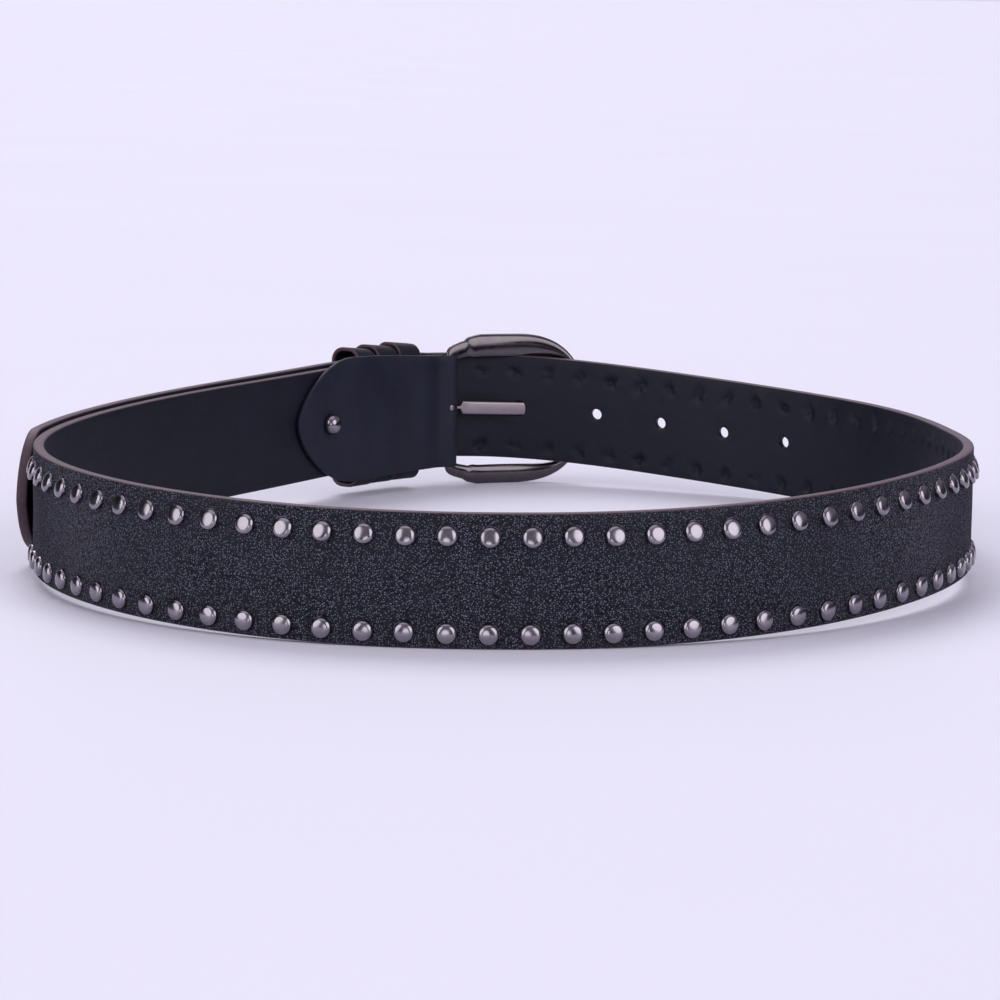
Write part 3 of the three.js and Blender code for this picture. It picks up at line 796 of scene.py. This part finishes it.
def make_tab(finishes):
    skin = Skin()
    route = tab_route()

    # The fold's crest is where the leather stands furthest round the bar
    x, y, nx, ny, _ = on_loop(BAR_AT)
    fold = PRONG_BORE + TAB_FOLD_THICK / 2
    crest = (x + ny * fold, y - nx * fold)
    crest_at = route.reach[min(range(len(route.rows)), key=lambda k: math.dist(route.rows[k][:2], crest))]

    def tab_point(travel, v, w):
        (x, y, middle, _), nx, ny = route.at(travel)
        return x + nx * w, y + ny * w, middle + v

    def half_thick(travel):
        return lerp(TAB_FOLD_THICK, TAB_THICK, smoothstep(abs(travel - crest_at), *TAB_THINNED)) / 2

    def tab_faces(travel):
        return half_thick(travel), -half_thick(travel)

    def tab_surface(side, travel, v, depth):
        long, high, height = TAB_WAVE
        face = half_thick(travel) + depth
        if side == "outer":
            fade = smoothstep(min(travel, route.length - travel), 0.5, 5)
            face += fade * height * noise.noise(Vector((travel / long, v / high, 5)))
        return tab_point(travel, v, face if side == "outer" else -face)

    def half(travel):
        width = route.at(travel)[0][3]
        return width * pointed_share(travel / TAB_POINT_LENGTH, TAB_FULLNESS)

    tip = [TAB_POINT_LENGTH * (k / 18) ** 1.7 for k in range(18)]
    columns, last, blocks = tip, TAB_POINT_LENGTH, []
    for (_, _, (near, far, count)), before in zip(TAB_HOLES, (32, 3)):
        columns = columns + [lerp(last, crest_at + near, k / before) for k in range(before)]
        blocks.append((len(columns), len(columns) + count, 8, 10))
        columns += [lerp(crest_at + near, crest_at + far, k / count) for k in range(count)]
        last = crest_at + far
    columns += [lerp(last, route.length, k / 18) for k in range(19)]
    outline = [((s, -half(s)), (s, half(s))) for s in columns]
    wide = TAB_HALF_WIDTH["fold"] - TAB_CORNER
    hole_middle = FRAME_HALF_HEIGHT + PRONG_HEIGHT - route.at(crest_at)[0][2]
    low, high = (((hole_middle + side * (TAB_HOLE_HEIGHT / 2 + 0.5)) / wide + 1) / 2 for side in (-1, 1))
    rows = [low * k / 8 for k in range(8)] + [low, (low + high) / 2] + [lerp(high, 1, k / 7) for k in range(8)]
    strip = Strip(skin, outline, rows, tab_faces, TAB_CORNER, tab_surface, tab_point, pointed=(0,))
    left_open = set()
    for (near, far, _), block in zip(TAB_HOLES, blocks):
        middle, length = crest_at + (near + far) / 2, (far - near) / 2
        walls = []
        for side in FACES:
            opening = skin.row(
                tab_surface(
                    side, middle + length * squared(math.cos(t), 0.7),
                    hole_middle + TAB_HOLE_HEIGHT / 2 * squared(math.sin(t), 0.7), -0.1,
                )
                for t in block_angles(block)
            )
            skin.bridge(strip.boundary(side, block), opening, FACES[side])
            walls.append(opening)
        skin.bridge(*walls, INNER)
        left_open |= block_cells(block)
    strip.close(left_open, capped=(len(columns) - 1,))
    skin.piece("buckle_tab", finishes)


def make_rivet(finish):
    """A domed cap on its shank."""
    skin = Skin()
    head = STRAP_THICK / 2 + TAB_CLEAR + TAB_THICK + GAP
    foot, foot_start, foot_end = RIVET_FOOT
    profile = [
        (foot - 0.05, -foot_end), (foot, 0.1 - foot_end), (foot, -foot_start - 0.1), (foot - 0.1, -foot_start),
        (RIVET_SHANK, -foot_start), (RIVET_SHANK, head), (RIVET_RADIUS - 0.15, head), (RIVET_RADIUS, head + 0.15),
    ]
    dome = ((0.985, 0.25), (0.92, 0.48), (0.8, 0.69), (0.62, 0.86), (0.4, 0.955), (0.2, 0.99))
    profile += [(RIVET_RADIUS * wide, head + RIVET_HEIGHT * high) for wide, high in dome]
    x, y, nx, ny, lift = on_loop(RIVET_AT)
    height = lift + STRAP_WIDTH / 2
    turns = [2 * math.pi * k / 32 for k in range(32)]
    rings = []
    for radius, inwards in profile:
        rings.append(skin.row(
            (
                x - nx * inwards - ny * radius * math.cos(t),
                y - ny * inwards + nx * radius * math.cos(t),
                height + radius * math.sin(t),
            )
            for t in turns
        ))
    skin.tube(rings)
    skin.face(rings[0], 0)
    skin.fan(rings[-1], (x - nx * (head + RIVET_HEIGHT), y - ny * (head + RIVET_HEIGHT), height), 0)
    skin.piece("tab_rivet", [finish], sharp=55)


def make_keeper(number, start, finishes):
    """A narrow band bent round the strap's two laps."""
    skin = Skin()
    half = KEEPER_THICK / 2
    left = -(STRAP_THICK / 2 + GAP + half)
    right = OVER_STRAP + STRAP_THICK / 2 + STUD_HEIGHT + GAP + half
    middle = STRAP_WIDTH / 2 - KEEPER_DROP
    low, high = middle - KEEPER_HALF_HEIGHT + half, middle + KEEPER_HALF_HEIGHT - half
    corner = KEEPER_CORNER - half
    centres = (
        (right - corner, low + corner), (right - corner, high - corner),
        (left + corner, high - corner), (left + corner, low + corner),
    )
    path = []
    for quarter, (out, up) in enumerate(centres):
        for k in range(9):
            turn = math.radians(-90 + 90 * (quarter + k / 8))
            path.append((out + corner * math.cos(turn), up + corner * math.sin(turn), math.cos(turn), math.sin(turn)))
        following = centres[(quarter + 1) % 4]
        straight = 10 if quarter % 2 == 0 else 3
        last = path[-1]
        turn = math.radians(90 * quarter)
        ahead = (following[0] + corner * math.cos(turn), following[1] + corner * math.sin(turn))
        path += [
            (lerp(last[0], ahead[0], k / straight), lerp(last[1], ahead[1], k / straight), last[2], last[3])
            for k in range(1, straight)
        ]
    from_side = KEEPER_RIM / KEEPER_WIDTH
    flat = [lerp(from_side, 1 - from_side, k / 5) for k in range(6)]
    turns = [math.radians(turn) for turn in (30, 60, 90)]
    bend = [(from_side * (1 - math.sin(t)), half - KEEPER_RIM * (1 - math.cos(t))) for t in turns]
    section = [(share, half, OUTER) for share in flat]
    section += [(1 - share, w, EDGE) for share, w in bend] + [(1 - share, -w, EDGE) for share, w in reversed(bend)]
    section += [(share, -half, INNER) for share in reversed(flat)]
    section += [(share, -w, EDGE) for share, w in bend] + [(share, w, EDGE) for share, w in reversed(bend)]
    lift = on_loop(start + KEEPER_WIDTH / 2)[4]
    rings = []
    for out, up, n_out, n_up in path:
        lean = KEEPER_LEAN * smoothstep(up, middle, high)
        points = []
        for share, w, _ in section:
            x, y = place(start + KEEPER_WIDTH * share, out + n_out * w)
            points.append((x, y, lift + up + n_up * w + lean * (share - 0.5)))
        rings.append(skin.row(points))
    for k, ring in enumerate(rings):
        following = rings[(k + 1) % len(rings)]
        for m, (_, _, finish) in enumerate(section):
            n = (m + 1) % len(section)
            skin.face((ring[m], ring[n], following[n], following[m]), finish)
    skin.piece(f"keeper_{number}", finishes)


# Materials

def linear(code):
    """An sRGB hex colour as linear light."""
    channels = [int(code[k:k + 2], 16) / 255 for k in (1, 3, 5)]
    return (*(c / 12.92 if c <= 0.04045 else ((c + 0.055) / 1.055) ** 2.4 for c in channels), 1)


def node(tree, kind, inputs=None, **settings):
    """Adds a node, sets it, and gives its sockets values or links."""
    made = tree.nodes.new(kind)
    for name, value in settings.items():
        setattr(made, name, value)
    for name, value in (inputs or {}).items():
        if isinstance(value, bpy.types.NodeSocket):
            tree.links.new(value, made.inputs[name])
        else:
            made.inputs[name].default_value = value
    return made


def material(name):
    """An empty node material, its tree, and the place on the object."""
    made = bpy.data.materials.new(name)
    made.use_nodes = True
    tree = made.node_tree
    tree.nodes.clear()
    return made, tree, node(tree, "ShaderNodeTexCoord").outputs["Object"]


def surfaced(tree, inputs):
    """Ends a tree in the principled shader with those inputs."""
    shader = node(tree, "ShaderNodeBsdfPrincipled", inputs)
    node(tree, "ShaderNodeOutputMaterial", {"Surface": shader.outputs["BSDF"]})


def per_mm(size):
    """A texture's scale for a pattern of that size in millimetres."""
    return 1 / (size * MM)


def grain_leather():
    """Pebble-grained leather, drum-dyed black with a semi-gloss finish: small round grains over a blue-black ground,
    in places drawn together into bigger pebbles. The grains' tops carry painted glints: pale specks painted into the
    base colour in place of the lights they catch, stronger where a slow cloud says so."""
    made, tree, place_on = material("leather_pebble_grain_semi_gloss_painted_glints")
    # Each grain has a cell of about 0.6 mm, a little coarser than on the real belt
    middles = node(
        tree, "ShaderNodeTexVoronoi", {"Vector": place_on, "Scale": per_mm(0.6), "Randomness": 0.85}, feature="F1",
    ).outputs["Distance"]
    grains = node(tree, "ShaderNodeMapRange", {
        "Value": middles, "From Min": 0.46, "From Max": 0.12,
    }, interpolation_type="SMOOTHSTEP").outputs["Result"]
    drift = node(tree, "ShaderNodeTexNoise", {"Vector": place_on, "Scale": per_mm(2.6), "Detail": 3.0})
    bent = node(tree, "ShaderNodeVectorMath", {0: drift.outputs["Color"], "Scale": 1.3 * MM}, operation="SCALE")
    warped = node(
        tree, "ShaderNodeVectorMath", {0: place_on, 1: bent.outputs["Vector"]}, operation="ADD"
    ).outputs["Vector"]
    cells = node(
        tree, "ShaderNodeTexVoronoi", {"Vector": warped, "Scale": per_mm(2.0)}, feature="DISTANCE_TO_EDGE"
    ).outputs["Distance"]
    pebbles = node(tree, "ShaderNodeMapRange", {
        "Value": cells, "From Min": 0.0, "From Max": 0.35,
    }, interpolation_type="SMOOTHSTEP").outputs["Result"]
    cloud = node(
        tree, "ShaderNodeTexNoise", {"Vector": place_on, "Scale": per_mm(26), "Detail": 2.0}
    ).outputs["Fac"]
    drawn = node(tree, "ShaderNodeMapRange", {
        "Value": cloud, "From Min": 0.4, "From Max": 0.62, "To Min": 0.2, "To Max": 1.0,
    }).outputs["Result"]
    # How strongly the painted glints show, set by a slow cloud
    painted_glint_cloud = node(tree, "ShaderNodeMapRange", {
        "Value": cloud, "From Min": 0.36, "From Max": 0.6, "To Min": 0.7, "To Max": 1.0,
    }).outputs["Result"]
    # Painted highlight: pale specks painted into the base colour on the grains' tops, in place of the lights they
    # catch
    painted_glints = node(tree, "ShaderNodeMath", {0: grains, 1: painted_glint_cloud}, operation="MULTIPLY").outputs["Value"]
    colour = node(tree, "ShaderNodeMix", {
        "Factor": painted_glints, "A": linear("#060816"), "B": linear("#797b90"),
    }, data_type="RGBA")
    # Seen along the surface the grains hide each other, and the gloss is lost
    glancing = node(tree, "ShaderNodeLayerWeight", {"Blend": 0.5}).outputs["Facing"]
    dull = node(tree, "ShaderNodeMapRange", {
        "Value": glancing, "From Min": 0.25, "From Max": 0.8, "To Min": 0.0, "To Max": 0.85,
    }).outputs["Result"]
    polish = node(tree, "ShaderNodeMapRange", {"Value": grains, "To Min": 0.5, "To Max": 0.18}).outputs["Result"]
    rough = node(tree, "ShaderNodeMath", {0: dull, 1: polish}, operation="MAXIMUM").outputs["Value"]
    pebble_bump = node(tree, "ShaderNodeBump", {"Height": pebbles, "Strength": drawn, "Distance": 0.45 * MM})
    grain_bump = node(tree, "ShaderNodeBump", {
        "Height": grains, "Strength": 1.0, "Distance": 0.25 * MM, "Normal": pebble_bump.outputs["Normal"],
    })
    surfaced(tree, {
        "Base Color": colour.outputs["Result"], "Roughness": rough, "IOR": 1.5, "Specular IOR Level": 0.22,
        "Normal": grain_bump.outputs["Normal"],
    })
    return made


def smooth_leather(name, low, high):
    """Smooth split leather, sealed black in two close tones: a low even sheen with faint clouds and fibres."""
    made, tree, place_on = material(name)
    cloud = node(
        tree, "ShaderNodeTexNoise", {"Vector": place_on, "Scale": per_mm(14), "Detail": 4.0}
    ).outputs["Fac"]
    fibres = node(
        tree, "ShaderNodeTexNoise", {"Vector": place_on, "Scale": per_mm(1.1), "Detail": 4.0, "Roughness": 0.65}
    ).outputs["Fac"]
    colour = node(tree, "ShaderNodeMix", {
        "Factor": cloud, "A": linear(low), "B": linear(high),
    }, data_type="RGBA")
    rough = node(tree, "ShaderNodeMapRange", {
        "Value": cloud, "From Min": 0.3, "From Max": 0.7, "To Min": 0.5, "To Max": 0.64,
    }).outputs["Result"]
    wave = node(tree, "ShaderNodeBump", {"Height": cloud, "Strength": 0.6, "Distance": 0.9 * MM})
    bump = node(tree, "ShaderNodeBump", {
        "Height": fibres, "Strength": 0.5, "Distance": 0.1 * MM, "Normal": wave.outputs["Normal"],
    })
    surfaced(tree, {
        "Base Color": colour.outputs["Result"], "Roughness": rough, "IOR": 1.45, "Specular IOR Level": 0.3,
        "Normal": bump.outputs["Normal"],
    })
    return made


def cut_edge():
    """Cut leather edge, stained mauve brown and burnished: packed fibres in layers, with a dull shine."""
    made, tree, place_on = material("leather_cut_edge_burnished")
    fibres = node(
        tree, "ShaderNodeTexNoise", {"Vector": place_on, "Scale": per_mm(1.1), "Detail": 5.0, "Roughness": 0.7}
    ).outputs["Fac"]
    colour = node(tree, "ShaderNodeMix", {
        "Factor": fibres, "A": linear("#2a1c24"), "B": linear("#5a4450"),
    }, data_type="RGBA")
    bump = node(tree, "ShaderNodeBump", {"Height": fibres, "Strength": 0.6, "Distance": 0.1 * MM})
    surfaced(tree, {
        "Base Color": colour.outputs["Result"], "Roughness": 0.5, "IOR": 1.5, "Specular IOR Level": 0.3,
        "Normal": bump.outputs["Normal"],
    })
    return made


def plated(name, low, high, rough_low, rough_high, bump_depth):
    """Plated metal: two tones of the plating, and its polish from the best spots to the most rubbed ones."""
    made, tree, place_on = material(name)
    rubbed = node(
        tree, "ShaderNodeTexNoise", {"Vector": place_on, "Scale": per_mm(2.4), "Detail": 4.0}
    ).outputs["Fac"]
    colour = node(tree, "ShaderNodeMix", {"Factor": rubbed, "A": linear(low), "B": linear(high)}, data_type="RGBA")
    rough = node(tree, "ShaderNodeMapRange", {
        "Value": rubbed, "From Min": 0.3, "From Max": 0.7, "To Min": rough_low, "To Max": rough_high,
    }).outputs["Result"]
    bump = node(tree, "ShaderNodeBump", {"Height": rubbed, "Strength": 0.3, "Distance": bump_depth * MM})
    surfaced(tree, {
        "Base Color": colour.outputs["Result"], "Metallic": 1.0, "Roughness": rough, "Normal": bump.outputs["Normal"],
    })
    return made


def paper():
    """Matt pale lavender background paper."""
    made, tree, place_on = material("paper_sweep_matt")
    cloud = node(
        tree, "ShaderNodeTexNoise", {"Vector": place_on, "Scale": per_mm(333), "Detail": 2.0}
    ).outputs["Fac"]
    colour = node(tree, "ShaderNodeMix", {
        "Factor": cloud, "A": linear("#dcdbe9"), "B": linear("#e0dfed"),
    }, data_type="RGBA")
    surfaced(tree, {"Base Color": colour.outputs["Result"], "Roughness": 0.6, "IOR": 1.3})
    return made


# Studio. The camera was fitted to the photograph: where it stands, its lens, and its tilts in degrees.

CAMERA_AT = (-0.8, -1200.2, 182.4)
CAMERA_LENS = 135.25
CAMERA_DOWN = 7.84
CAMERA_ROLL = 0.86
FLOOR_RADII = (400, 1200, 3000, 8000, 20000, 60000)
FLOOR_HEIGHT = -0.02      # just under the belt, so that no two faces share a place


def make_floor():
    """A wide plain floor under the belt and out to the horizon."""
    skin = Skin()
    turns = [2 * math.pi * k / 64 for k in range(64)]
    rings = [
        skin.row((radius * math.cos(turn), radius * math.sin(turn), FLOOR_HEIGHT) for turn in turns)
        for radius in FLOOR_RADII
    ]
    skin.tube(rings)
    skin.face(rings[0], 0)
    floor = added("studio_floor", skin.mesh("studio_floor", [paper()]))


def make_sky():
    """The studio's light from all round: a pale backdrop behind and a pale ceiling above, and between them the dim
    room, which is darkest on the left."""
    world = bpy.data.worlds.new("studio_light")
    bpy.context.scene.world = world
    world.use_nodes = True
    tree = world.node_tree
    tree.nodes.clear()
    where = node(tree, "ShaderNodeTexCoord").outputs["Generated"]
    parts = node(tree, "ShaderNodeSeparateXYZ", {"Vector": where})

    def fade(axis, start, end):
        return node(tree, "ShaderNodeMapRange", {
            "Value": parts.outputs[axis], "From Min": start, "From Max": end,
        }, interpolation_type="SMOOTHSTEP").outputs["Result"]

    side = node(tree, "ShaderNodeMix", {
        "Factor": fade("X", -0.8, -0.25), "A": linear("#2b2930"), "B": linear("#a09ba8"),
    }, data_type="RGBA").outputs["Result"]
    room = node(tree, "ShaderNodeMix", {
        "Factor": fade("Z", 0.4, 0.12), "A": side, "B": linear("#4a4750"),
    }, data_type="RGBA").outputs["Result"]
    low = node(tree, "ShaderNodeMix", {
        "Factor": fade("Y", 0.8, 0.95), "A": room, "B": linear("#ebe6fc"),
    }, data_type="RGBA").outputs["Result"]
    colour = node(tree, "ShaderNodeMix", {
        "Factor": fade("Z", 0.8, 0.96), "A": low, "B": linear("#b4afc0"),
    }, data_type="RGBA").outputs["Result"]
    light = node(tree, "ShaderNodeBackground", {"Color": colour, "Strength": 0.9})
    node(tree, "ShaderNodeOutputWorld", {"Surface": light.outputs["Background"]})


# Round softboxes far away: azimuth, with 0 behind the camera and 90 on the right, elevation, how many degrees of the
# sky each fills, and power
SOFTBOXES = {
    "behind_left": (-168, 52, 34, 1.3),
    "front_left": (-54, 24, 50, 1.35),
    "front_right": (48, 24, 48, 1.3),
    "above": (-90, 82, 60, 0.5),
    "low": (-4, 2, 27, 0.42),
}


def softbox(name, azimuth, elevation, width, power):
    data = bpy.data.lights.new(name, "SUN")
    data.angle = math.radians(width)
    data.energy = power
    data.color = linear("#fffcff")[:3]
    lamp = added(name, data)
    a, e = math.radians(azimuth), math.radians(elevation)
    towards = Vector((math.sin(a) * math.cos(e), -math.cos(a) * math.cos(e), math.sin(e)))
    lamp.location = towards
    lamp.rotation_mode = "QUATERNION"
    lamp.rotation_quaternion = towards.to_track_quat("Z", "Y")


def make_camera():
    """The photograph's camera: a long lens, a little above the belt and tilted down at it."""
    data = bpy.data.cameras.new("camera")
    data.sensor_width = 36
    data.lens = CAMERA_LENS
    data.clip_start, data.clip_end = 0.05, 200
    camera = added("camera", data)
    pitch = Matrix.Rotation(math.radians(90 - CAMERA_DOWN), 4, "X")
    roll = Matrix.Rotation(math.radians(CAMERA_ROLL), 4, "Z")
    camera.matrix_world = Matrix.Translation(Vector(CAMERA_AT) * MM) @ pitch @ roll
    bpy.context.scene.camera = camera


make_camera()
make_floor()
make_sky()
for side, light in SOFTBOXES.items():
    softbox(f"softbox_{side}", *light)

outer_leather, brown_edge = grain_leather(), cut_edge()
inner_leather = smooth_leather("leather_split_sealed_satin", "#0a0b17", "#151727")
tab_leather = smooth_leather("leather_tab_sealed_satin", "#151724", "#202334")
gunmetal = plated("zinc_plated_gunmetal_polished", "#837e86", "#908b93", 0.14, 0.23, 0.01)
black_nickel = plated("zinc_plated_black_nickel_polished", "#555054", "#655f64", 0.12, 0.2, 0.01)
satin_nickel = plated("steel_plated_nickel_satin", "#877d83", "#9b9097", 0.4, 0.5, 0.03)
leathers = [outer_leather, inner_leather, brown_edge]

make_strap(leathers + [gunmetal])
make_tab([tab_leather, tab_leather, tab_leather])
make_rivet(gunmetal)
make_frame(black_nickel)
make_prong(satin_nickel)
for number, start in enumerate(KEEPER_STARTS, 1):
    make_keeper(number, start, [inner_leather, inner_leather, brown_edge])

bpy.context.scene.view_settings.view_transform = "Standard"
